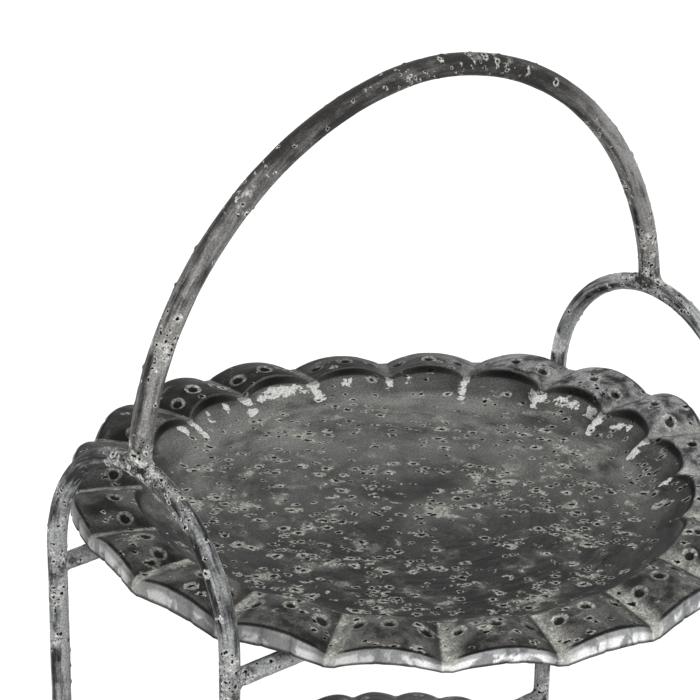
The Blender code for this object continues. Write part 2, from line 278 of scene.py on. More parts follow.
def tube(name, path, normal, radius, sides, lumps, seed, weld_spots, bright, welds=()):
    """A worn tube swept along a flat path. Its ends are open, or carried into the welds given.
    skin holds coordinates along the tube, round it and of its own, for the wear."""
    path = resample(path, ROW_STEP)
    normal = np.array(normal, float)
    tangent = np.gradient(path, axis=0)
    tangent /= np.linalg.norm(tangent, axis=1)[:, None]
    side = np.cross(tangent, normal)
    along = lengths_along(path)
    turns = 2.0 * math.pi * np.arange(sides) / sides
    place = np.stack(np.broadcast_arrays(along[:, None], radius * np.cos(turns)[None],
                                         radius * np.sin(turns)[None]), axis=-1)
    reach = radius + 0.10 * MM * ripple(place, 42.0 * MM, seed)
    reach += 0.06 * MM * ripple(place, 9.0 * MM, seed + 1)
    chance = np.random.default_rng(seed)
    for _ in range(lumps):
        at = chance.uniform(0.0, along[-1])
        turn = chance.normal(0.5 * math.pi, 1.3)
        tall = chance.uniform(0.35, 1.0) * MM * chance.choice((1.0, 1.0, -0.5))
        wide = chance.uniform(0.9, 1.8) * MM
        swing = np.abs((turns - turn + math.pi) % (2.0 * math.pi) - math.pi) * radius
        near = np.abs(along - at) < 5.0 * wide
        far = (along[near][:, None] - at) ** 2 + swing[None] ** 2
        reach[near] += tall * np.exp(-far / wide ** 2)
    grid = (path[:, None] + reach[..., None]
            * (np.cos(turns)[None, :, None] * normal + np.sin(turns)[None, :, None] * side[:, None]))
    rows, marks = list(grid), list(along)
    if welds:
        head = weld_rows(rows[0], *welds[0], seed + 2)[::-1]
        tail = weld_rows(rows[-1], *welds[1], seed + 3)
        rows, marks = extended(rows, marks, head, tail, ROW_STEP)
    else:
        lips = []
        for row, way in ((rows[0], -tangent[0]), (rows[-1], tangent[-1])):
            spoke = (row - row.mean(axis=0)) / radius
            lips.append([row - spoke * 0.35 * MM + way * 0.25 * MM,
                         row - spoke * TUBE_WALL + way * 0.1 * MM,
                         row - spoke * TUBE_WALL - way * BORE_DEPTH])
        rows, marks = extended(rows, marks, lips[0][::-1], lips[1], MM)
    verts = np.concatenate(rows + [rows[0].mean(axis=0)[None], rows[-1].mean(axis=0)[None]])
    rings = ring_numbers(len(rows), sides)
    own = seed * SKIN_STEP
    faces, skins = [], []
    for index, (here, there) in enumerate(zip(marks, marks[1:])):
        faces += [(a, d, c, b) for a, b, c, d in band(rings[index], rings[index + 1])]
        for turn in turns:
            low, high = radius * turn, radius * (turn + turns[1])
            skins += [(here, low, own), (here, high, own), (there, high, own), (there, low, own)]
    first_tip = len(rows) * sides
    for (a, b, tip), (c, d, far_tip) in zip(fan(rings[0], first_tip), fan(rings[-1], first_tip + 1)):
        faces += [(a, tip, b), (d, far_tip, c)]
        skins += [(marks[0], 0.0, own)] * 3 + [(marks[-1], 0.0, own)] * 3
    mesh = new_mesh(name, verts, faces)
    add_corners(mesh, "skin", skins)
    white = np.zeros(len(verts))
    for spot, wide in weld_spots:
        far = np.linalg.norm(verts - np.array(spot), axis=1)
        white = np.maximum(white, 1.0 - smoothstep(far, wide * 0.45, wide))
    add_points(mesh, "weld", white)
    far = np.linalg.norm((verts - np.array(WHITE_SPOT)) * (1.0, 1.0, 0.75), axis=1)
    add_points(mesh, "white_spot", 1.0 - smoothstep(far, 2.0 * MM, 13.0 * MM))
    add_points(mesh, "bright", bright(verts))
    # Painted light and shade: each point is painted lighter the more it faces the lit side.
    normals = np.zeros(len(verts) * 3)
    mesh.vertices.foreach_get("normal", normals)
    painted_light = 0.5 + 0.5 * normals.reshape(-1, 3) @ PAINTED_LIGHT_SIDE
    add_points(mesh, "painted_light", np.maximum(painted_light, PAINTED_LIGHT_LEAST))
    return soften(mesh, 60.0)


def end_arch_path(x):
    spring_z = ARCH_APEX_Z - ARCH_RISE
    path = [(x, -HALF_WIDTH, LEG_END_Z), (x, -HALF_WIDTH, spring_z)]
    for step in range(1, 240):
        turn = math.pi * (1.0 - step / 240.0)
        path.append((x, HALF_WIDTH * math.cos(turn), spring_z + ARCH_RISE * math.sin(turn)))
    path += [(x, HALF_WIDTH, spring_z), (x, HALF_WIDTH, LEG_END_Z)]
    return path


# The handle is bent by hand: (share from left foot to right, mm outwards, mm to the back).
HANDLE_BENDS = ((0.0, -1.2, 0.0), (0.10, -1.6, 0.0), (0.18, 0.0, 0.0), (0.26, 0.9, 0.0),
                (0.33, 1.2, 0.0), (0.40, 0.7, 0.0), (0.47, 0.1, 0.0), (0.54, 0.3, 0.0),
                (0.60, 1.1, 0.0), (0.67, 1.4, 0.0), (0.75, 0.2, 0.3), (0.815, -1.0, 1.9),
                (0.89, -1.8, 3.5), (1.0, -1.5, 3.3))


def handle_path():
    turns = np.linspace(math.pi, 0.0, 401)
    cosine, sine = np.cos(turns), np.clip(np.sin(turns), 0.0, 1.0)
    x = np.sign(cosine) * HALF_LENGTH * np.abs(cosine) ** (2.0 / HANDLE_POWER)
    z = ARCH_APEX_Z + HANDLE_RISE * sine ** (2.0 / HANDLE_POWER)
    share = 1.0 - turns / math.pi
    bends = np.array(HANDLE_BENDS)
    outward, back = (np.interp(share, bends[:, 0], bends[:, k]) * MM for k in (1, 2))
    smooth = np.ones(41) / 41.0
    outward, back = (np.convolve(np.pad(v, 20, "edge"), smooth, "valid") for v in (outward, back))
    slope_x, slope_z = np.gradient(x), np.gradient(z)
    length = np.hypot(slope_x, slope_z)
    path = np.stack((x - outward * slope_z / length, back, z + outward * slope_x / length), axis=1)
    return path[path[:, 2] > ARCH_APEX_Z + HANDLE_STAND]


RAILS = [f"{tier}_rail_{face}" for tier in ("upper", "lower") for face in ("front", "back")]
# How far the upper rails were welded off their level.
RAIL_SHIFT = {"upper_rail_front": -1.5 * MM, "upper_rail_back": 1.5 * MM}
# Where each tube ends and its weld's fillet starts, from the axis of the tube it meets.
HANDLE_STAND = 15.0 * MM
RAIL_STAND = 13.0 * MM
# How far a fillet runs along the tube it meets, each way, and the paint round it is torn.
HANDLE_FILLET, HANDLE_TORN = (21.0 * MM, 17.0 * MM), 34.0 * MM
RAIL_FILLET, RAIL_TORN = (10.0 * MM, 9.0 * MM), 26.0 * MM
STRAIGHT = 1e6
# The paint goes from its low look to its high one between these heights.
UPPER_BRIGHT_Z = (middle("upper_rail_front").z + 30.0 * MM, ARCH_APEX_Z - 20.0 * MM)
# How thick the paint makes each end arch, against its bare tube.
COAT = {"left": 1.045, "right": 0.985}
# Where the right end arch has a white spot.
WHITE_SPOT = (HALF_LENGTH - 4.0 * MM, HALF_WIDTH - 2.0 * MM, ARCH_APEX_Z - ARCH_RISE * 0.76)
# The way that the side of each tube painted lightest faces, as painted light and shade round it.
PAINTED_LIGHT_SIDE = np.array((0.42, -0.89, 0.17))


def leg_brightness(verts):
    """The legs are barer and brighter low down than the arches are."""
    x, y, z = verts.T
    low = 1.0 - smoothstep(z, *UPPER_BRIGHT_Z)
    far = np.where(x > 0.0, 0.74, 0.14) * (1.0 - low)
    bare = 0.25 + far + low * np.where(y < 0.0, 0.40, 0.54)
    return np.clip(bare + 0.2 * ripple(verts, 120.0 * MM, 7), 0.0, 1.0)


def handle_brightness(verts):
    """The handle is barest near its feet."""
    low = 1.0 - smoothstep(verts[:, 2], ARCH_APEX_Z + 0.55 * HANDLE_RISE, ARCH_APEX_Z + HANDLE_RISE)
    return np.clip(low * 0.80 - 0.12 + 0.15 * ripple(verts, 120.0 * MM, 8), -0.15, 1.0)


def build_tubes():
    torn = []
    for side in (-1, 1):
        torn.append(((side * HALF_LENGTH, 0.0, ARCH_APEX_Z), HANDLE_TORN))
        torn += [((side * HALF_LENGTH, *middle(rail).yz), RAIL_TORN) for rail in RAILS]
    for seed, word in ((11, "left"), (23, "right")):
        node = f"end_arch_{word}"
        mesh = tube(f"{node}_tube", end_arch_path(middle(node).x), (1, 0, 0), TUBE_R * COAT[word],
                    TUBE_SIDES, 150, seed, torn, leg_brightness)
        piece(f"{node}_tube", mesh, node, "dark_tube")
    bend = HALF_WIDTH ** 2 / ARCH_RISE
    welds = []
    for side, foot in ((-1, HANDLE_BENDS[0]), (1, HANDLE_BENDS[-1])):
        host = np.array((side * HALF_LENGTH, foot[2] * MM, ARCH_APEX_Z))
        welds.append((host, (0, 1, 0), (0, 0, 1), TUBE_R, HANDLE_FILLET, bend))
    mesh = tube("handle_arch_tube", handle_path(), (0, 1, 0), HANDLE_R, HANDLE_SIDES, 150, 5,
                torn, handle_brightness, welds)
    piece("handle_arch_tube", mesh, "handle_arch", "handle_tube")
    reach = HALF_LENGTH - RAIL_STAND
    for index, rail in enumerate(RAILS):
        centre = middle(rail) + Vector((0.0, 0.0, RAIL_SHIFT.get(rail, 0.0)))
        welds = []
        for side in (-1, 1):
            host = np.array((side * HALF_LENGTH, centre.y, centre.z))
            welds.append((host, (0, 0, 1), (-side, 0, 0), TUBE_R, RAIL_FILLET, STRAIGHT))
        mesh = tube(f"{rail}_tube", [(-reach, centre.y, centre.z), (reach, centre.y, centre.z)],
                    (0, 0, 1), RAIL_R, TUBE_SIDES, 40, 41 + index, torn, leg_brightness, welds)
        piece(f"{rail}_tube", mesh, rail, "dark_tube")


# ---------------------------------------------------------------- trays

def flute_weight(phase):
    inside = np.clip((phase - WEB) / (1.0 - 2.0 * WEB), 0.0, 1.0)
    return np.sin(math.pi * inside) ** 0.8


def tray_outlines(rim_r, lift):
    """(radius, height) from floor to skirt hem along a web, and along a flute's crest."""
    inner = rim_r - FLANGE_WIDTH
    floor_r = inner * BASE_SHARE
    web = ((floor_r, -6.5), (floor_r + 8 * MM, -5.6), (inner - 3.5 * MM, 6.5), (inner, 9.5),
           (inner + 19 * MM, 5.2), (rim_r, 0.0), (rim_r + 3 * MM, -1.8),
           (rim_r + SKIRT_STAND, -7.2))
    high = lift / MM
    crest = ((floor_r, -6.5), (floor_r + 8 * MM, -5.6), (inner + 1.5 * MM, 6.5 + 0.2 * high),
             (inner + 3.5 * MM, 9.5 + 0.7 * high), (inner + 20 * MM, 5.2 + 1.1 * high),
             (rim_r + 1 * MM, high), (rim_r + 4 * MM, -1.8 + 0.9 * high),
             (rim_r + 3.8 * MM, -7.2 + 0.5 * high))
    scale = np.array((1.0, MM))
    return np.array(web) * scale, np.array(crest) * scale


# Rows between the outline's points, and the rows where the wall, the flange and the skirt start.
PROFILE_STEPS = (4, 10, 7, 13, 13, 4, 7)
STEP_ROW, FLANGE_ROW, SKIRT_ROW, LAST_ROW = (sum(PROFILE_STEPS[:count]) for count in (2, 3, 5, 7))
# Rings of the floor, as shares of the radius where the wall's foot starts.
FLOOR_RINGS = (0.93, 0.82, 0.66, 0.46, 0.24, 0.0)
# How much closer together the columns stand at the webs.
CROWDING = 0.35
# How unevenly the flutes stand, and how deep the creases in the skirt are.
UNEVEN_UP, UNEVEN_OUT = 0.45 * MM, 0.5 * MM
GROOVE_DEPTH = 1.1 * MM
# The underside's wear is read from this far away, so that it is not the top's over again.
UNDERSIDE = (1.3, 0.4, 1.0)

# How each web of the upper tray, counted from +X, is off its even place, in mm:
# (round the rim, up at its inner end, up at its outer end, inner end outwards).
WEB_BENDS = (
    (-1.5, -1.4, 9.0, -1.5), (-3.3, -1.0, 6.5, -1.3), (1.5, -3.4, -1.9, 0.0), (1.0, -6.4, -6.8, -0.6),
    (0.5, -5.6, -5.2, 0.4), (1.9, -5.0, 2.2, 0.9), (-0.1, -3.1, 7.2, -0.6), (-2.0, 0.5, 9.6, 0.0),
    (2.5, 1.1, 7.6, -2.0), (-0.2, -1.4, 10.4, -2.0), (-7.2, 0.7, 10.8, 0.0), (-3.7, 1.5, 7.0, 0.0),
    (-0.8, -0.1, 3.6, 0.0), (-0.6, -3.0, 3.5, 0.0), (1.7, -4.5, 0.3, 0.0), (1.8, -3.6, -1.1, -0.7),
    (0.8, -1.6, -1.0, 0.0), (0.8, 0.3, 0.4, 0.0), (2.1, 1.4, 3.0, 0.0), (3.4, 1.0, 6.8, -1.7),
)
# Bare bright patches on the tray's wall: (place in flutes from +X, half length, strength).
WALL_PATCHES = ((4.42, 0.36, 0.82), (1.02, 0.15, 0.95), (6.2, 0.07, 0.8), (2.72, 0.08, 0.62),
                (0.6, 0.22, 0.6), (0.2, 0.14, 0.62), (19.6, 0.2, 0.6), (5.66, 0.07, 0.62),
                (4.74, 0.10, 0.60), (3.55, 0.10, 0.62), (5.30, 0.06, 0.58))
# Bright webs on the wall: number from +X: (strength, half width in flutes, rows long).
WALL_RIBS = {0: (1.0, 0.075, 8.0), 1: (0.9, 0.070, 6.0), 2: (0.85, 0.055, 8.0), 3: (0.8, 0.055, 5.0),
             4: (1.0, 0.080, 8.0), 5: (0.85, 0.12, 6.0), 6: (0.95, 0.060, 7.0), 19: (0.9, 0.070, 8.0),
             18: (0.7, 0.06, 5.0)}
PLAIN_RIB = (0.3, 0.05, 3.0)
# Which way from the middle the webs' lit flanks get the most painted highlight, the wall is most ridged
# and most shaded in its hollows by painted shade, and the rim is barest.
LIT_WEB_SIDE = math.radians(250.0)
RIDGED_SIDE = math.radians(5.0)
SILVER_SIDE = math.radians(-8.0)
UPPER_TRAY_SHIFT = (0.0, 2.0 * MM, 1.0 * MM)
# Flutes that stand off the even shape, in mm: number from +X, (out, up, hem down).
LOBE_BENDS = {2: (0.0, -1.5, 0.0), 3: (0.0, -1.0, 0.0), 7: (3.0, 2.0, 1.0), 8: (4.0, 0.0, 2.0),
              9: (1.0, 0.0, 4.0), 10: (0.0, 0.0, 5.0), 11: (0.0, 0.0, 3.0), 14: (0.0, 0.0, 3.0),
              15: (0.0, 0.0, 2.5), 19: (1.0, 2.0, 0.0)}


def dense_outline(points):
    rows = []
    for (start, stop), count in zip(zip(points, points[1:]), PROFILE_STEPS):
        rows += [start + (stop - start) * k / count for k in range(count)]
    rows.append(points[-1])
    rows = np.array(rows)
    for _ in range(2):
        rows[1:-1] = (rows[:-2] + 2.0 * rows[1:-1] + rows[2:]) / 4.0
    return rows


def sheet_lumps(flat, seed):
    """How far the pressed sheet stands off its even shape."""
    return 0.35 * MM * ripple(flat, 60.0 * MM, seed + 1) + 0.14 * MM * ripple(flat, 17.0 * MM, seed + 2)


def press_dimples(height, flat, flutes, rim_r, swing, chance):
    """Sink three dimples a flute into the flange. swing is how far each web lies round the rim.
    Gives each dimple's ring strength, and 1 at its centre falling to 0 at twice its radius."""
    rings, dents = np.zeros_like(height), np.zeros_like(height)
    for index in range(flutes):
        for spot in (1 / 6, 1 / 2, 5 / 6):
            turn = 2.0 * math.pi * (index + spot + chance.normal(0.0, 0.012)) / flutes
            turn += np.interp(index + spot, np.arange(flutes + 1), np.r_[swing, swing[0]]) / rim_r
            away = rim_r - FLANGE_WIDTH + chance.normal(16.0, 1.0) * MM
            wide = chance.uniform(4.4, 5.4) * MM
            deep = chance.uniform(2.3, 3.0) * MM
            far = np.hypot(flat[..., 0] - away * math.cos(turn), flat[..., 1] - away * math.sin(turn))
            height -= deep * (1.0 - smoothstep(far, wide * 0.15, wide))
            height += 0.35 * MM * np.exp(-((far - wide * 1.2) / (1.5 * MM)) ** 2)
            rings = np.where(far < wide * 1.9, chance.uniform(0.35, 1.0), rings)
            dents = np.maximum(dents, 1.0 - far / (2.0 * wide))
    return rings, dents


def wear_and_light_layers(place, off_web, theta, row, weight, skirt, patches, ribs):
    """Where the paint is worn, bare or dirty, and where painted light and shade fall, at each row
    and column. place counts flutes from +X, and off_web counts them from the nearest web."""
    flutes = int(round(place[-1]))
    near_web = smoothstep(row, STEP_ROW + 1.0, FLANGE_ROW + 1.0)
    # Painted highlight on the lit flank of each web, strongest on one side of the tray.
    worn = smoothstep(np.cos(theta - LIT_WEB_SIDE), -0.6, 0.5)[None] * 0.65 + 0.35
    pale_side = between(off_web, -0.045, -0.02, 0.0, 0.19) * near_web * worn
    # Painted shade on the far flank of each web, and in the wall's hollows on the ridged side.
    ridged = smoothstep(np.cos(theta - RIDGED_SIDE), 0.3, 0.9)[None]
    on_wall = between(row, STEP_ROW - 8.0, STEP_ROW - 3.0, FLANGE_ROW - 1.0, FLANGE_ROW + 1.0) * ridged
    dark_side = between(off_web, -0.20, -0.06, -0.055, -0.03) * near_web
    hollows = between(off_web, 0.05, 0.10, 0.12, 0.42) * on_wall
    above = 1.0 - smoothstep(row, FLANGE_ROW - 3.0, FLANGE_ROW - 1.0)
    nearest = np.round(place).astype(int) % flutes
    strength, wide, long = np.array([ribs.get(k, PLAIN_RIB) for k in range(flutes)])[nearest].T
    rib = (np.exp(-(off_web / wide) ** 2) * strength * above
           * smoothstep(row, STEP_ROW - long - 3.0, STEP_ROW - long))
    for at, wide, strength in patches:
        swing = (place - at + flutes / 2) % flutes - flutes / 2
        rib = np.maximum(rib, np.exp(-(swing[None] / wide) ** 4) * strength
                         * between(row, STEP_ROW - 6.0, STEP_ROW - 3.0, STEP_ROW - 1.0, STEP_ROW + 1.0))
    # Painted shadow along the fold under the flange's edge, and under the inner lip where the flange
    # meets the wall.
    rim_dark = np.exp(-((row - SKIRT_ROW - 0.4) / 0.95) ** 4) * smoothstep(weight, 0.0, 0.4)
    under = (between(row, STEP_ROW - 0.5, STEP_ROW + 1.0, FLANGE_ROW - 1.5, FLANGE_ROW)
             * (0.6 + 0.4 * weight))
    flange = smoothstep(row, FLANGE_ROW - 1.0, FLANGE_ROW + 1.0) * (1.0 - skirt)
    return {"pale_side": pale_side, "dark_side": np.maximum(dark_side, hollows * 0.9),
            "rim_dark": np.maximum(rim_dark, under), "skirt": skirt, "flange": flange, "rib": rib,
            "drop": skirt_share(row), "bare": smoothstep(row, STEP_ROW - 9.0, STEP_ROW - 6.0) * above,
            "silver": smoothstep(np.cos(theta - SILVER_SIDE), 0.45, 0.95)[None] * (flange + skirt)}


def skirt_share(row):
    """0 at the fold of the rim, 1 at the skirt's hem."""
    return np.clip((row - SKIRT_ROW) / (LAST_ROW - SKIRT_ROW), 0.0, 1.0)


def fill_floor(verts, places, faces, columns, centre, floor_z, floor_r, seed):
    """Close the middle of both faces with rings, each of half as many points as the last."""
    below = len(verts) // 2
    rings = [list(range(columns)), list(range(below, below + columns))]
    for share in FLOOR_RINGS:
        for face, (drop, offset) in enumerate(((0.0, (0.0, 0.0, 0.0)), (SHEET, UNDERSIDE))):
            old = rings[face]
            count = len(old) // 2 if share else 1
            angles = 0.0
            if share:
                around = np.array(verts)[old[::2]] - np.array(centre)
                angles = np.arctan2(around[:, 1], around[:, 0])
            spots = np.stack((np.cos(angles), np.sin(angles)), axis=-1).reshape(-1, 2) * floor_r * share
            new = list(range(len(verts), len(verts) + count))
            for (x, y), lump in zip(spots, sheet_lumps(spots, seed)):
                verts.append(np.array((centre.x + x, centre.y + y, floor_z + lump - drop)))
                places.append(np.array((x, y, 0.0)) + offset)
            made = [] if share else fan(old, new[0])
            for m in range(count if share else 0):
                a, b = new[m], new[(m + 1) % count]
                p, q, r = old[2 * m], old[2 * m + 1], old[(2 * m + 2) % len(old)]
                made += [(a, p, q), (a, q, b), (b, q, r)]
            faces += [tri[::-1] for tri in made] if drop else made
            rings[face] = new


def tray(name, node, flutes, per_flute, lift, dimples, bends, lobes, patches, ribs, shift, seed):
    """A pressed sheet tray on a polar grid, with a separate pattern of wear on each face."""
    centre = middle(node) + Vector(shift)
    rim_r = size(node).x / 2 - SKIRT_STAND
    inner = rim_r - FLANGE_WIDTH
    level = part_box(node)[0].z + SHEET + FLOOR_DROP + shift[2]
    chance = np.random.default_rng(seed)
    columns = flutes * per_flute
    share = np.arange(per_flute) / per_flute
    share = share - CROWDING * np.sin(2.0 * math.pi * share) / (2.0 * math.pi)
    phase = np.tile(share, flutes)
    flute = np.repeat(np.arange(flutes), per_flute)
    place = flute + phase
    theta = 2.0 * math.pi * place / flutes
    row = np.arange(LAST_ROW + 1)[:, None]

    # The even shape, then the unevenness of each flute and web.
    web, crest = (dense_outline(line) for line in tray_outlines(rim_r, lift))
    weight = flute_weight(phase)[None]
    grid = web[:, None] * (1.0 - weight[..., None]) + crest[:, None] * weight[..., None]
    radius, height = grid[..., 0].copy(), grid[..., 1].copy()
    out_share = np.clip((row - STEP_ROW) / 12.0, 0.0, 1.0)
    height += chance.normal(0.0, 1.0, flutes)[flute] * weight * UNEVEN_UP * out_share
    radius += np.roll(chance.normal(0.0, 1.0, flutes), 1)[flute] * weight * UNEVEN_OUT * out_share
    for index, (out, up, hem) in lobes.items():
        here = (flute == index) * weight
        radius += here * out * MM * out_share
        height += here * up * MM * out_share
        height -= hem * MM * np.exp(-((place - index - 0.5) / 0.55) ** 4) * skirt_share(row)
    bends = np.array(bends) * MM
    round_rim, inner_up, outer_up, inner_out = (
        np.interp(place, np.arange(-1, flutes + 2), np.r_[v[-1:], v, v[:2]]) for v in bends.T)
    theta = theta + round_rim / rim_r
    wall_share = smoothstep(radius, inner * BASE_SHARE, inner)
    out_far = np.clip((radius - inner) / FLANGE_WIDTH, 0.0, 1.1)
    height += wall_share * inner_up + out_far * (outer_up - inner_up)
    radius += wall_share * (1.0 - np.clip(out_far, 0.0, 1.0)) * inner_out
    off_web = np.where(phase < 0.5, phase, phase - 1.0)[None]
    if dimples:
        ridge = 1.0 + 3.2 * smoothstep(np.cos(theta - RIDGED_SIDE), 0.2, 0.9)[None]
        radius -= (ridge * MM * np.exp(-(off_web / 0.085) ** 2)
                   * between(row, 4.0, 10.0, FLANGE_ROW - 2.0, FLANGE_ROW + 4.0))
    cos, sin = np.cos(theta)[None], np.sin(theta)[None]
    flat = np.stack((radius * cos, radius * sin), axis=-1)
    height += sheet_lumps(flat, seed)
    skirt = smoothstep(row, SKIRT_ROW + 0.8, SKIRT_ROW + 2.2) * np.ones(columns)
    layers = wear_and_light_layers(place, off_web, theta, row, weight, skirt, patches, ribs)
    rings = dents = grooves = np.zeros(columns)
    if dimples:
        rings, dents = press_dimples(height, flat, flutes, rim_r, bends[:, 0], chance)
        grooves = np.zeros(columns)
        for index in range(flutes):
            here = flute == index
            for spot in (0.42, 0.72):
                at = spot + chance.normal(0.0, 0.05)
                grooves[here] += np.exp(-((phase[here] - at) / 0.022) ** 2) * chance.uniform(0.5, 1.0)
    radius -= GROOVE_DEPTH * grooves[None] * skirt
    layers.update(ring=rings, dent=dents, groove=grooves[None] * skirt)

    # The sheet's upper face, its lower face and the coordinates of the sheet laid flat.
    top = np.stack((centre.x + radius * cos, centre.y + radius * sin, level + height), axis=-1)
    lengths = np.linalg.norm(np.diff(top, axis=0), axis=2).mean(axis=1)
    floor_r = radius[0].mean()
    unrolled = (np.concatenate([[0.0], np.cumsum(lengths)]) + floor_r)[:, None]
    sideways = np.roll(top, -1, axis=1) - np.roll(top, 1, axis=1)
    normal = np.cross(np.gradient(top, axis=0), sideways)
    normal /= np.linalg.norm(normal, axis=2)[..., None]
    verts = list(top.reshape(-1, 3)) + list((top - normal * SHEET).reshape(-1, 3))
    sheet = np.stack((unrolled * cos, unrolled * sin, 0.0 * height), axis=-1).reshape(-1, 3)
    places = list(sheet) + list(sheet + UNDERSIDE)
    below = len(sheet)
    rings = ring_numbers(LAST_ROW + 1, columns)
    faces = []
    for pair in zip(rings, rings[1:]):
        for quad in band(*pair):
            faces += [quad, tuple(below + vert for vert in reversed(quad))]
    faces += band(rings[-1], [below + vert for vert in rings[-1]])
    fill_floor(verts, places, faces, columns, centre, level - FLOOR_DROP, floor_r, seed)
    mesh = new_mesh(name, np.array(verts), faces)
    add_points(mesh, "sheet_place", np.array(places))
    for key, values in layers.items():
        worn = np.zeros(len(verts))
        worn[:below] = (values * np.ones((LAST_ROW + 1, columns))).ravel()
        add_points(mesh, key, worn)
    face_outwards(mesh)
    piece(name, soften(mesh, 55.0), node, "tray_sheet")


# ---------------------------------------------------------------- casters

def rounded(points, size, loop):
    """The same outline with each corner turned into a small curve."""
    points = [np.array(point, float) for point in points]
    count = len(points)
    made = []
    for index, corner in enumerate(points):
        if not loop and index in (0, count - 1):
            made.append(corner)
            continue
        before, after = points[index - 1], points[(index + 1) % count]
        cut = min(size, 0.45 * np.linalg.norm(corner - before), 0.45 * np.linalg.norm(after - corner))
        start = corner + (before - corner) / np.linalg.norm(before - corner) * cut
        stop = corner + (after - corner) / np.linalg.norm(after - corner) * cut
        for step in range(5):
            t = step / 4.0
            made.append((1 - t) ** 2 * start + 2 * (1 - t) * t * corner + t ** 2 * stop)
    return made


def turned(name, rows, sides, loop, flats=None, ribs=None):
    """A solid turned about +Z from (radius, height) rows in mm. flats limits a row to a hexagon
    of that half width; ribs is how far a row's height rises on each radial rib."""
    rows = np.array(rows) * MM
    turns = 2.0 * math.pi * np.arange(sides) / sides
    radius, height = rows[:, :1] * np.ones(sides), rows[:, 1:] * np.ones(sides)
    if flats is not None:
        hexagon = np.cos(turns % (math.pi / 3.0) - math.pi / 6.0)
        radius = np.minimum(radius, np.array(flats)[:, None] * MM / hexagon)
    if ribs is not None:
        rise = smoothstep(np.cos(HUB_RIBS * turns), 0.62, 0.86)
        height = height + np.array(ribs)[:, None] * MM * rise
    grid = np.stack((radius * np.cos(turns), radius * np.sin(turns), height), axis=-1)
    verts = list(grid.reshape(-1, 3))
    rings = ring_numbers(len(rows), sides)
    faces = []
    for pair in zip(rings, rings[1:] + rings[:1] if loop else rings[1:]):
        faces += band(*pair)
    for end in () if loop else (0, -1):
        faces += fan(rings[end], len(verts))
        verts.append(grid[end].mean(axis=0))
    mesh = new_mesh(name, np.array(verts), faces)
    face_outwards(mesh)
    return soften(mesh, 32.0)


def mirrored(half):
    return half + [(radius, -height) for radius, height in reversed(half)]


def socket_mesh():
    outline = [(3.8, SOCKET_TOP_Z), (4.4, SOCKET_TOP_Z)]
    for index in range(4):
        z = SOCKET_TOP_Z - 3.0 - 6.5 * index
        outline += [(4.75, z + 1.6), (5.0, z), (4.75, z - 0.3)]
    outline += [(4.8, 66.0), (6.4, 66.0), (6.4, 63.7), (3.8, 63.7)]
    return turned("leg_socket", rounded(outline, 0.35, True), 56, True)


def stem_mesh():
    low = FORK_TOP_Z - PLATE - GAP
    outline = [(0.6, 94.0), (2.7, 94.0), (3.5, 92.0), (3.5, 87.5), (2.9, 87.0), (2.9, 84.6),
               (3.5, 84.0), (3.5, 63.5), (9.8, 63.4), (10.5, 62.2), (10.5, 60.6), (4.0, 60.6),
               (4.0, low), (6.5, low), (6.2, low - 1.2), (4.4, low - 2.2), (0.6, low - 2.4)]
    return turned("caster_stem", rounded(outline, 0.5, False), 64, False)


def race_mesh():
    low = FORK_TOP_Z + GAP
    outline = [(5.0, 60.3), (11.0, 60.3), (11.6, 59.6), (11.2, 59.3), (11.9, 59.0), (12.5, low),
               (5.0, low)]
    return turned("swivel_race", rounded(outline, 0.3, True), 72, True)


def bolt_mesh():
    """Domed head with a hexagon socket, plain shank and a threaded end."""
    face = FORK_HALF_GAP + PLATE + GAP
    tip, thread_top = -face - 4.6, -face + 0.5
    thread_steps = 34
    socket, plain = 1.5, 9.0
    rows = [(0.4, face + 0.7, socket), (1.75, face + 0.7, socket), (1.75, face + 2.05, socket),
            (2.0, face + 2.2, 1.7), (3.0, face + 2.15, plain), (4.0, face + 1.85, plain),
            (4.8, face + 1.25, plain), (5.15, face + 0.6, plain), (5.2, face, plain),
            (3.0, face, plain), (3.0, thread_top, plain)]
    for step in range(1, thread_steps):
        z = thread_top + (tip + 0.5 - thread_top) * step / thread_steps
        rows.append((2.86 + 0.14 * math.cos(math.pi * step), z, plain))
    rows += [(2.8, tip + 0.4, plain), (2.3, tip, plain), (0.4, tip, plain)]
    return turned("axle_bolt", [row[:2] for row in rows], 60, False, flats=[row[2] for row in rows])


def nut_mesh():
    near = -FORK_HALF_GAP - PLATE - GAP
    far = near - 3.4
    bore = 3.18
    rows = [(bore, near), (4.5, near), (5.0, near - 0.25), (5.5, near - 0.6), (5.5, far + 0.6),
            (5.0, far + 0.25), (4.5, far), (3.5, far), (bore, far + 0.3)]
    return turned("axle_nut", rows, 72, True, flats=[4.76] * len(rows))


def hub_mesh():
    """A moulded hub: boss, ribbed web and rim, the same on both sides."""
    half = [(3.12, 9.6), (3.5, 10.0), (5.9, 10.0), (6.3, 9.6), (7.2, 4.2), (8.0, 3.5), (11.0, 3.3),
            (14.4, 3.3), (15.1, 3.8), (15.8, 6.8), (16.3, 7.2), (18.2, 7.2), (18.6, 6.8)]
    ribs = [0, 0, 0, 0, 2.6, 3.0, 2.9, 2.8, 2.6, 0, 0, 0, 0]
    ribs += [-value for value in reversed(ribs)]
    return turned("wheel_hub", mirrored(half), 180, True, ribs=ribs)


def tyre_mesh():
    half = [(18.9, 0.4), (18.9, 6.9), (19.3, 7.3), (20.6, 7.9), (20.9, 8.3), (22.2, 8.5),
            (23.4, 8.0), (24.3, 6.6), (24.8, 4.9), (24.95, 3.0), (24.9, 0.5), (25.0, 0.2)]
    return turned("wheel_tyre", rounded(mirrored(half), 0.3, True), 112, True)


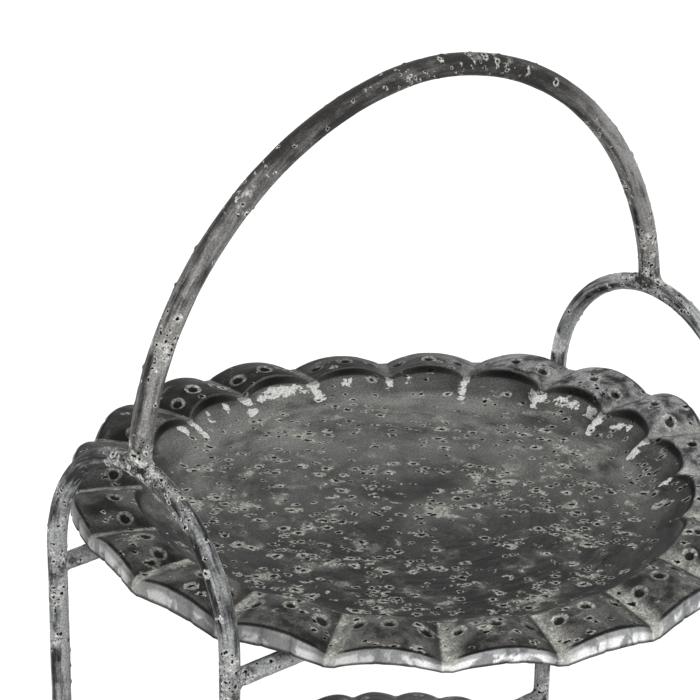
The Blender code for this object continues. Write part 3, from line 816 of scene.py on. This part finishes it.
def fork_mesh():
    """The fork: a flat blank with three holes and rounded edges, folded into a channel."""
    middle_z = FORK_TOP_Z - PLATE / 2
    flat_half = FORK_HALF_GAP + PLATE / 2 - FOLD_R
    fold = FOLD_R * math.pi / 2

    def blank_v(z):
        return flat_half + fold + middle_z - FOLD_R - z

    cheek = [(-11.5, blank_v(49.0))]
    for step in range(25):
        turn = math.radians(205.0 + step * 160.0 / 24.0)
        cheek.append((TRAIL + 7.8 * math.cos(turn), blank_v(WHEEL_R + 7.8 * math.sin(turn))))
    cheek += [(17.0, blank_v(52.0)), (13.0, blank_v(55.6))]
    loops = [rounded(mirrored(cheek), 2.2, True)]
    for x, v, radius in ((0.0, 0.0, 4.2), (TRAIL, blank_v(WHEEL_R), 3.25),
                         (TRAIL, -blank_v(WHEEL_R), 3.25)):
        turns = 2.0 * math.pi * np.arange(40) / 40
        loops.append([(x + radius * math.cos(t), v + radius * math.sin(t)) for t in turns])
    curve = bpy.data.curves.new("fork_blank", "CURVE")
    curve.dimensions = "2D"
    curve.fill_mode = "BOTH"
    curve.bevel_depth = EDGE_R * MM
    curve.bevel_resolution = 2
    curve.extrude = (PLATE / 2 - EDGE_R) * MM
    curve.offset = -EDGE_R * MM
    for loop in loops:
        spline = curve.splines.new("POLY")
        spline.points.add(len(loop) - 1)
        for point, (x, v) in zip(spline.points, loop):
            point.co = (x * MM, v * MM, 0.0, 1.0)
        spline.use_cyclic_u = True
    blank = add_object("fork_blank", curve)
    bpy.context.view_layer.update()
    mesh = bpy.data.meshes.new_from_object(blank.evaluated_get(bpy.context.evaluated_depsgraph_get()))
    bpy.data.objects.remove(blank, do_unlink=True)
    work = bmesh.new()
    work.from_mesh(mesh)
    bmesh.ops.remove_doubles(work, verts=work.verts, dist=0.002 * MM)
    for side in (-1.0, 1.0):
        for step in range(9):
            at = side * (flat_half + fold * step / 8.0) * MM
            bmesh.ops.bisect_plane(work, geom=work.verts[:] + work.edges[:] + work.faces[:],
                                   plane_co=(0.0, at, 0.0), plane_no=(0.0, 1.0, 0.0))
    for vert in work.verts:
        x, v, t = (value / MM for value in vert.co)
        y, z = v, middle_z + t
        run = abs(v) - flat_half
        if run > 0.0:
            turn = min(run, fold) / FOLD_R
            y = math.copysign(flat_half + (FOLD_R + t) * math.sin(turn), v)
            z = middle_z - FOLD_R + (FOLD_R + t) * math.cos(turn) - max(0.0, run - fold)
        vert.co = (x * MM, y * MM, z * MM)
    bmesh.ops.recalc_face_normals(work, faces=work.faces)
    work.to_mesh(mesh)
    work.free()
    return soften(mesh, 32.0)


def build_casters():
    upright = (("leg_socket", socket_mesh(), "socket_nylon"), ("caster_stem", stem_mesh(), "zinc"),
               ("swivel_race", race_mesh(), "zinc"), ("fork", fork_mesh(), "zinc"))
    on_axle = (("axle_bolt", bolt_mesh(), "zinc"), ("axle_nut", nut_mesh(), "zinc"),
               ("wheel_hub", hub_mesh(), "hub_nylon"), ("wheel_tyre", tyre_mesh(), "rubber"))
    for corner in CORNERS:
        leg = middle(f"caster_stem_{corner}")
        kingpin = Matrix.Translation((leg.x, leg.y, 0.0)) @ Matrix.Rotation(math.pi / 2, 4, "Z")
        end_for_end = Matrix.Rotation(math.pi if leg.x > 0.0 else 0.0, 4, "Z")
        axle = (kingpin @ Matrix.Translation((TRAIL * MM, 0.0, WHEEL_R * MM)) @ end_for_end
                @ Matrix.Rotation(-math.pi / 2, 4, "X"))
        for parts, place in ((upright, kingpin), (on_axle, axle)):
            for kind, mesh, slot in parts:
                node = f"{kind}_{corner}"
                piece(f"{node}_detail", mesh, node, slot, place)


# ---------------------------------------------------------------- looks

def srgb(red, green=None, blue=None):
    """Linear colour from 0-255 display values; one value makes a grey."""
    values = (red, green if green is not None else red, blue if blue is not None else red)
    return tuple(((v / 255 + 0.055) / 1.055) ** 2.4 if v > 10 else v / 255 / 12.92
                 for v in values) + (1.0,)


class Field:
    """A number or colour that varies over a surface; sums and products of it add Math nodes."""

    def __init__(self, look, socket):
        self.look, self.socket = look, socket

    def __mul__(self, other):
        return self.look.math("MULTIPLY", self, other)

    def __add__(self, other):
        return self.look.math("ADD", self, other)

    def __sub__(self, other):
        return self.look.math("SUBTRACT", self, other)

    def __rsub__(self, other):
        return self.look.math("SUBTRACT", other, self)

    def __truediv__(self, other):
        return self.look.math("DIVIDE", self, other)

    def rest(self, amount):
        """One, less this times an amount."""
        return self.look.math("MULTIPLY_ADD", self, -amount, 1.0)


class Look:
    """A material whose nodes are added one call at a time."""

    def __init__(self, name):
        self.material = bpy.data.materials.new(name)
        self.material.use_nodes = True
        self.tree = self.material.node_tree
        self.shader = self.tree.nodes["Principled BSDF"]

    def put(self, value, socket):
        if isinstance(value, Field):
            self.tree.links.new(value.socket, socket)
        else:
            socket.default_value = value

    def add(self, kind, values=(), out=0, **settings):
        """A node with its settings and its inputs, which values gives by number or name."""
        made = self.tree.nodes.new("ShaderNode" + kind)
        for key, value in settings.items():
            setattr(made, key, value)
        for key, value in dict(values).items():
            self.put(value, made.inputs[key])
        return Field(self, made.outputs[out]) if out is not None else made

    def math(self, operation, *values):
        return self.add("Math", enumerate(values), operation=operation)

    def vector(self, operation, *values, out=0):
        return self.add("VectorMath", enumerate(values), out, operation=operation)

    def scaled(self, vector, amount):
        return self.add("VectorMath", {0: vector, "Scale": amount}, operation="SCALE")

    def along(self, vector, way):
        return self.vector("DOT_PRODUCT", vector, way, out=1)

    def attribute(self, name, out="Fac"):
        return self.add("Attribute", out=out, attribute_name=name)

    def noise(self, vector, scale, detail=4.0, rough=0.55, out="Fac"):
        return self.add("TexNoise", {"Vector": vector, "Scale": scale, "Detail": detail,
                                     "Roughness": rough}, out)

    def ramp(self, value, low, high, bottom=0.0, top=1.0):
        """Smoothly from bottom at low to top at high."""
        return self.add("MapRange", {"Value": value, "From Min": low, "From Max": high,
                                     "To Min": bottom, "To Max": top},
                        interpolation_type="SMOOTHSTEP")

    def cloud(self, vector, scale, low, high, bottom=0.0, top=1.0, rough=0.6):
        """Patches: a noise, taken smoothly from bottom to top between low and high."""
        return self.ramp(self.noise(vector, scale, 4.0, rough), low, high, bottom, top)

    def mix(self, share, first, second):
        return self.add("Mix", {0: share, 6: first, 7: second}, 2, data_type="RGBA")

    def warped(self, vector, scale, amount):
        """The same coordinates, pushed about by noise."""
        push = self.vector("SUBTRACT", self.noise(vector, scale, 3.0, 0.6, "Color"), (0.5, 0.5, 0.5))
        return self.vector("ADD", vector, self.scaled(push, amount))

    def pits(self, vector, scale, share, pit, halo, ragged, rough):
        """Scattered pits in a sheet: (black hole mask, pale patch mask). share may be a mask;
        ragged is a noise that frays the pale edges by rough cells."""
        cells = self.add("TexVoronoi", {"Vector": vector, "Scale": scale}, None,
                         voronoi_dimensions="2D")
        chances = self.add("SeparateColor", {0: Field(self, cells.outputs["Color"])}, None)
        chance, chance_pit, chance_halo = (Field(self, chances.outputs[k]) for k in range(3))
        distance = Field(self, cells.outputs["Distance"])
        present = self.math("LESS_THAN", chance, share)
        pit_r = chance_pit * (pit[1] - pit[0]) + pit[0]
        halo_r = self.math("POWER", chance_halo, 2.0) * halo + pit_r * HALO_LEAST
        frayed = distance + (ragged * rough - 0.5 * rough)
        hole = self.ramp(distance / pit_r, 0.75, 1.15, 1.0, 0.0)
        pale = self.ramp(frayed / halo_r, 0.75, 1.05, 1.0, 0.0)
        return hole * present, pale * present

    def grained(self, colour, vector, scale, least, most):
        """The colour made lighter and darker by a fine noise."""
        grain = self.noise(vector, scale, 2.0, 0.6)
        return self.scaled(colour, self.ramp(grain, 0.34, 0.66, least, most))

    def most(self, *values):
        best = values[0]
        for value in values[1:]:
            best = self.math("MAXIMUM", best, value)
        return best

    def paint(self, colour, pit, pale, fine, streaks, ridges, roughness, metal, relief, glint):
        """Paint with black pits; pale chips and streaks stand proud by ridges."""
        height = fine * 0.30 - pit + streaks * ridges[0] + pale * ridges[1]
        rough = self.ramp(pale * 0.6 + streaks, 0.2, 1.3, *roughness)
        return self.finish(self.mix(pit, colour, PIT_BLACK), rough, pale * -0.1 + metal, height,
                           relief, glint)

    def finish(self, colour, rough, metal, height, relief, glint):
        """Relief is how far the height's 1 stands above its 0, glint the specular level."""
        bump = self.add("Bump", {"Strength": 1.0, "Distance": relief, "Height": height}, "Normal")
        for key, value in (("Base Color", colour), ("Roughness", rough), ("Metallic", metal),
                           ("Normal", bump), ("Specular IOR Level", glint)):
            self.put(value, self.shader.inputs[key])
        return self.material


# Chips in the trays' paint run longest this way.
LONG_WAY = (0.758, -0.652, 0.0)
# A pit's pale halo is at least this many times as wide as the pit.
HALO_LEAST = 1.75
# Inside the second radius, a tray's round streaks fade into plain clouds.
STREAKS_FADE = (0.020, 0.065)
PIT_BLACK = srgb(8, 7, 7)


def tray_look(name):
    look = Look(name)
    noise, ramp, cloud = look.noise, look.ramp, look.cloud
    mix, warped, most = look.mix, look.warped, look.most
    pale_side, dark_side, rim_dark, ring, dent, skirt, flange, groove, rib, drop, bare, silver = (
        look.attribute(key) for key in
        "pale_side dark_side rim_dark ring dent skirt flange groove rib drop bare silver".split())
    flat = look.vector("MULTIPLY", look.attribute("sheet_place", "Vector"), (1.0, 1.0, 0.0))
    away = look.vector("LENGTH", flat, out=1)
    way = look.vector("NORMALIZE", flat)

    def circles(long, radial):
        """Coordinates stretched round the tray, so that noise on them runs in arcs."""
        return look.vector("ADD", look.scaled(way, long), look.add("CombineXYZ", {2: away * radial}))

    # Base paint: streaks in arcs, clouds, and a painted sheen that lightens it towards the back.
    clouds = noise(flat, 15.0, 4.0, 0.55)
    streaks = noise(warped(circles(0.12, 9.0), 3.0, 0.03), 34.0, 5.0, 0.62)
    smears = noise(warped(circles(0.09, 1.0), 60.0, 0.006), 62.0, 5.0, 0.62)
    off_centre = ramp(away, *STREAKS_FADE)
    smears = (smears - clouds) * off_centre + clouds
    streaks = (streaks - clouds) * off_centre + clouds
    fine = noise(warped(flat, 90.0, 0.004), 300.0, 4.0, 0.75)
    speck = noise(flat, 620.0, 3.0, 0.8)
    back = ramp(look.along(flat, (0.55, 0.83, 0.0)), -0.17, 0.20)
    right = ramp(look.along(flat, (1.0, 0.1, 0.0)), 0.07, 0.15)
    left = ramp(look.along(flat, (-1.0, 0.35, 0.0)), 0.05, 0.20)
    base = mix(ramp(streaks, 0.36, 0.64), srgb(18), srgb(56, 56, 55))
    # Painted sheen: lighter clouds towards the back.
    base = mix(back * ramp(clouds, 0.36, 0.60, 0.15, 1.0), base, srgb(98, 98, 96))
    base = mix(ramp(smears, 0.48, 0.64, 0.0, 0.50), base, srgb(108, 108, 103))
    bands = noise(warped(circles(0.16, 2.2), 8.0, 0.02), 22.0, 4.0, 0.6)
    sheen = ramp(away, 0.085, 0.150) * ramp(bands, 0.42, 0.62, 0.0, 0.7)
    base = mix(sheen * ramp(back, 0.0, 0.6), base, srgb(112, 112, 109))
    # The flange's paint is darker towards the back, as painted shade.
    flange_low = mix(back, srgb(38, 38, 37), srgb(12))
    flange_high = mix(back, srgb(112, 111, 108), srgb(44, 43, 41))
    blotches = cloud(flat, 48.0, 0.36, 0.64)
    base = mix(flange, base, mix(blotches, flange_low, flange_high))
    # Painted shade: the floor darker towards the front, the wall darker and darkest on the right, and
    # the flange darker towards the back.
    shade = ramp(back, 0.0, 1.0, 0.58, 1.08) * bare.rest(0.15) * (bare * right).rest(0.42)
    base = look.scaled(base, shade * (1.0 - flange * (back * 0.56 + 0.04)))
    silvery = silver * cloud(warped(flat, 60.0, 0.01), 70.0, 0.36, 0.62)
    base = mix(silvery * 0.86, base, srgb(140, 141, 142))
    shiny = mix(cloud(warped(flat, 50.0, 0.009), 44.0, 0.46, 0.54),
                srgb(126, 127, 129), srgb(226, 227, 226))
    shiny = mix(ramp(clouds, 0.50, 0.64, 0.0, 0.45), shiny, srgb(132, 133, 134))
    # Painted shade: the skirt is greyer just under the fold of the rim.
    shiny = mix(ramp(clouds * 0.5 + (drop - 0.25), 0.34, 0.58, 0.80, 0.0), shiny, srgb(112, 113, 114))
    shiny = mix(left * 0.50, shiny, srgb(112, 112, 109))
    base = mix(skirt * 0.95, base, shiny)

    # Chips: pits with pale halos, patches, rings round the dimples, and a painted highlight on the
    # webs' lit sides.
    squeezed = look.vector("SUBTRACT", flat, look.scaled(LONG_WAY, look.along(flat, LONG_WAY) * 0.30))
    rough_place = warped(warped(squeezed, 75.0, 0.006), 330.0, 0.0030)
    share = ramp(noise(flat, 24.0, 3.0, 0.6), 0.38, 0.60, 0.08, 0.74) * flange.rest(0.55)
    share = share * back.rest(0.40) * ramp(bare, 0.0, 1.0, 1.0, ramp(right, 0.2, 0.9, 0.12, 0.85))
    share = share * (1.0 - skirt)
    ragged = noise(flat, 520.0, 3.0, 0.7)
    frayed = ragged * 0.22 + (dent - 0.11)
    ring = ring * (ramp(frayed, 0.34, 0.48) * ramp(frayed, 0.70, 0.58))
    big_pit, big_halo = look.pits(rough_place, 105.0, share, (0.09, 0.18), 0.26, ragged, 0.7)
    small_pit, small_halo = look.pits(rough_place, 230.0, share * 0.42, (0.15, 0.28), 0.30, ragged, 0.7)
    patch = ramp(ragged * 0.12 + smears, 0.66, 0.70)
    pale = most(big_halo, small_halo * 0.85, patch * ramp(share, 0.1, 0.6, 0.15, 0.9))
    pale = pale * ramp(speck, 0.38, 0.55, 0.35, 0.95) * skirt.rest(0.7)
    pale = most(pale, ring * ramp(fine, 0.35, 0.6, 0.30, 0.95))
    edge = cloud(warped(flat, 60.0, 0.01), 90.0, 0.36, 0.62, 0.35, 1.0, rough=0.65)
    # The webs' lit flanks: a painted highlight in the chips' pale colour.
    pale = most(pale, pale_side * edge)
    colour = mix(pale, base, mix(ramp(fine, 0.3, 0.7), srgb(118, 118, 112), srgb(178, 178, 170)))
    blobs = noise(warped(flat, 60.0, 0.008), 130.0, 3.0, 0.6)
    torn = blobs * 2.6 + (ragged * 0.4 - 1.5)
    colour = mix(ramp(rib + torn * ramp(rib, 0.0, 0.3), 0.52, 0.66), colour, srgb(182, 183, 179))

    # Dark marks: painted shadow under the folded rim and the inner lip, the dimples, the skirt's
    # grooves, and painted shade on the webs' far sides and in the wall's hollows.
    dark = most(rim_dark * 0.97, ramp(frayed, 0.60, 0.74) * 0.88, groove * 0.5, dark_side * 0.62)
    colour = mix(dark, colour, srgb(6))
    colour = mix(ramp(drop, 0.80, 0.93, 0.0, 0.88), colour, srgb(36, 31, 27))
    grain = ramp(noise(flat, 700.0, 2.0, 0.6), 0.34, 0.66, -0.33, 0.33)
    colour = look.scaled(colour, grain * skirt.rest(0.6) + 1.0)
    return look.paint(colour, most(big_pit, small_pit), pale, fine, streaks, (0.12, 0.14),
                      (0.45, 0.75), 0.15, 1.0 * MM, 0.12)


def tube_look(name, low, high, gloss, blotch):
    """Worn paint on a tube, painted lighter on its lit side as painted light and shade; blotch is how
    strongly it goes light and dark in bands.
    """
    look = Look(name)
    noise, ramp, cloud = look.noise, look.ramp, look.cloud
    mix, warped, most = look.mix, look.warped, look.most
    skin = look.attribute("skin", "Vector")
    weld, bright, painted_light, white_spot = (look.attribute(key) for key in ("weld", "bright", "painted_light", "white_spot"))
    streaks = noise(look.vector("MULTIPLY", skin, (0.45, 2.0, 1.0)), 130.0, 5.0, 0.62)
    bands = noise(look.vector("MULTIPLY", skin, (0.12, 1.6, 1.0)), 120.0, 4.0, 0.6)
    fine = noise(warped(skin, 90.0, 0.003), 300.0, 4.0, 0.75)
    speck = noise(skin, 640.0, 3.0, 0.8)
    ragged = noise(skin, 560.0, 3.0, 0.7)
    blotchy = ramp(bright, 0.45, 0.75, blotch, 1.0)
    clouds = cloud(skin, 38.0, 0.3, 0.7, -0.32, 0.32)
    # Painted light and shade: the tube's lit side is painted lighter.
    tone = painted_light * 0.75 + bright * 0.9 - 0.45 + ramp(streaks, 0.3, 0.7, -0.16, 0.16)
    tone = tone + (clouds + ramp(bands, 0.36, 0.64, -0.42, 0.34)) * blotchy
    base = mix(ramp(tone, 0.0, 1.0), low, high)

    # Chips: pits with pale halos, patches, and torn paint at the welds.
    rough_place = warped(warped(skin, 90.0, 0.005), 360.0, 0.0030)
    share = ramp(noise(skin, 19.0, 3.0, 0.6), 0.48, 0.62, 0.03, 0.70)
    share = most(share * ramp(bright, 0.0, 0.6, 0.50, 1.0), weld * 0.26)
    big_pit, big_halo = look.pits(rough_place, 130.0, share, (0.08, 0.20), 0.26, ragged, 0.5)
    small_pit, small_halo = look.pits(rough_place, 280.0, share * 0.6, (0.13, 0.28), 0.30, ragged, 0.6)
    patch = ragged * 0.10 + noise(warped(skin, 140.0, 0.006), 75.0, 5.0, 0.66)
    patch = ramp(patch, 0.60, 0.64) * ramp(share, 0.15, 0.6)
    torn = ragged * 0.15 + noise(warped(skin, 90.0, 0.006), 110.0, 4.0, 0.65)
    pale = most(big_halo, small_halo * 0.8, patch) * ramp(speck, 0.36, 0.54, 0.3, 1.0)
    pale = most(pale, weld * ramp(torn, 0.66, 0.70) * 0.85)
    colour = mix(pale, base, mix(ramp(fine, 0.3, 0.7), srgb(132, 131, 127), srgb(205, 205, 200)))
    colour = mix(ramp(torn * 1.3 + white_spot, 1.10, 1.40), colour, srgb(186, 187, 187))
    colour = mix(weld * ramp(torn, 0.56, 0.46, 0.0, 0.75), colour, srgb(24, 23, 22))
    colour = mix(cloud(skin, 48.0, 0.60, 0.74, 0.0, 0.25), colour, srgb(70, 58, 46))
    colour = look.grained(colour, skin, 760.0, 0.70, 1.32)
    return look.paint(colour, most(big_pit, small_pit), pale, fine, streaks, (0.08, 0.15),
                      (gloss, 0.70), 0.2, 0.9 * MM, 0.14)


def fitting_look(name, dark, light, dust, rough, metal, scale):
    """Plain zinc, nylon or rubber: clouded, grained, a little dusty and scuffed."""
    look = Look(name)
    place = look.add("TexCoord", out="Object")
    clouds = look.noise(look.warped(place, 60.0, 0.006), scale, 4.0, 0.6)
    fine = look.noise(place, 900.0, 4.0, 0.75)
    scuffs = look.noise(look.vector("MULTIPLY", look.warped(place, 140.0, 0.004), (1.0, 1.0, 5.0)),
                        210.0, 4.0, 0.7)
    colour = look.mix(look.ramp(clouds, 0.36, 0.64), dark, light)
    worn = look.ramp(scuffs, 0.56, 0.66) * look.ramp(clouds, 0.4, 0.6, 0.2, 0.8)
    colour = look.grained(look.mix(worn, colour, dust), place, 1500.0, 0.82, 1.2)
    height = fine * 0.5 - worn * 0.35
    roughness = look.ramp(fine, 0.3, 0.7, rough - 0.08, rough + 0.10)
    return look.finish(colour, roughness, metal, height, 0.25 * MM, 0.3)


# ---------------------------------------------------------------- studio

CAMERA_PLACE = (-1.1659, -1.2909, 1.3596)
CAMERA_YAW = math.radians(49.343)
CAMERA_PITCH = math.radians(24.545)
CAMERA_ROLL = math.radians(1.024)
CAMERA_LENS = 146.57
KEY_PLACE = Vector((-0.9, -2.4, 1.9))
KEY_AIM = Vector((0.0, 0.0, 0.45))
FLOOR_R = 14.0


def build_camera():
    data = bpy.data.cameras.new("camera")
    data.lens = CAMERA_LENS
    data.sensor_width = 36.0
    data.clip_end = 50.0
    camera = add_object("camera", data)
    ahead = Vector((math.cos(CAMERA_YAW) * math.cos(CAMERA_PITCH),
                    math.sin(CAMERA_YAW) * math.cos(CAMERA_PITCH), -math.sin(CAMERA_PITCH)))
    right = Vector((math.sin(CAMERA_YAW), -math.cos(CAMERA_YAW), 0.0))
    up = right.cross(ahead)
    cos, sin = math.cos(CAMERA_ROLL), math.sin(CAMERA_ROLL)
    axes = (cos * right + sin * up, -sin * right + cos * up, -ahead)
    turn = Matrix([[axis[row] for axis in axes] for row in range(3)]).to_4x4()
    camera.matrix_world = Matrix.Translation(CAMERA_PLACE) @ turn
    bpy.context.scene.camera = camera


def add_light(name, kind, power, turn):
    data = bpy.data.lights.new(name, kind)
    data.energy = power
    light = add_object(name, data)
    light.rotation_euler = turn.to_euler()
    return light


def build_studio():
    """A pale floor under an even white sky, a soft key light from the front and a high sun."""
    scene = bpy.context.scene
    scene.view_settings.view_transform = "Standard"
    world = bpy.data.worlds.new("studio")
    world.use_nodes = True
    sky = world.node_tree.nodes["Background"]
    sky.inputs["Color"].default_value = (1.0, 1.0, 1.0, 1.0)
    sky.inputs["Strength"].default_value = 1.0
    scene.world = world
    look = Look("floor_paint")
    tone = look.noise(look.add("TexCoord", out="Object"), 3.0, 2.0)
    look.put(look.mix(tone, (0.93, 0.93, 0.93, 1.0), (0.95, 0.95, 0.95, 1.0)),
             look.shader.inputs["Base Color"])
    look.put(0.9, look.shader.inputs["Roughness"])
    look.put(0.1, look.shader.inputs["Specular IOR Level"])
    work = bmesh.new()
    bmesh.ops.create_circle(work, cap_ends=True, segments=96, radius=FLOOR_R)
    mesh = bpy.data.meshes.new("floor")
    work.to_mesh(mesh)
    work.free()
    mesh.materials.append(look.material)
    add_object("floor", mesh)
    key = add_light("key", "AREA", 26.0, (KEY_AIM - KEY_PLACE).to_track_quat("-Z", "Y"))
    key.location = KEY_PLACE
    key.data.shape = "RECTANGLE"
    key.data.size = key.data.size_y = 1.6
    sun = add_light("overhead", "SUN", 0.8, Vector((-0.55, -0.25, 1.0)).to_track_quat("Z", "Y"))
    sun.data.angle = math.radians(40.0)


LOOKS.update(
    dark_tube=tube_look("worn_dark_tube", srgb(22), srgb(144, 145, 146), 0.45, 1.0),
    handle_tube=tube_look("worn_pewter_tube", srgb(40, 39, 38), srgb(128, 127, 125), 0.45, 0.4),
    tray_sheet=tray_look("worn_tray_sheet"),
    zinc=fitting_look("dull_zinc", srgb(104, 105, 107), srgb(176, 177, 178), srgb(62, 60, 57),
                      0.42, 0.85, 160.0),
    socket_nylon=fitting_look("socket_nylon_black", srgb(26, 26, 27), srgb(40, 40, 41),
                              srgb(84, 83, 80), 0.55, 0.0, 110.0),
    hub_nylon=fitting_look("hub_nylon_grey", srgb(40, 40, 41), srgb(62, 62, 63),
                           srgb(112, 110, 106), 0.50, 0.0, 90.0),
    rubber=fitting_look("tyre_rubber", srgb(20, 20, 21), srgb(38), srgb(88, 86, 81),
                        0.78, 0.0, 70.0))
build_camera()
build_studio()
build_tubes()
tray("upper_tray_sheet", "upper_tray", 20, 40, 8.5 * MM, True, WEB_BENDS, LOBE_BENDS,
     WALL_PATCHES, WALL_RIBS, UPPER_TRAY_SHIFT, 71)
tray("lower_tray_sheet", "lower_tray", 36, 16, 3.5 * MM, False, [(0, 0, 0, 0)] * 36, {}, (), {},
     (0, 0, 0), 83)
build_casters()
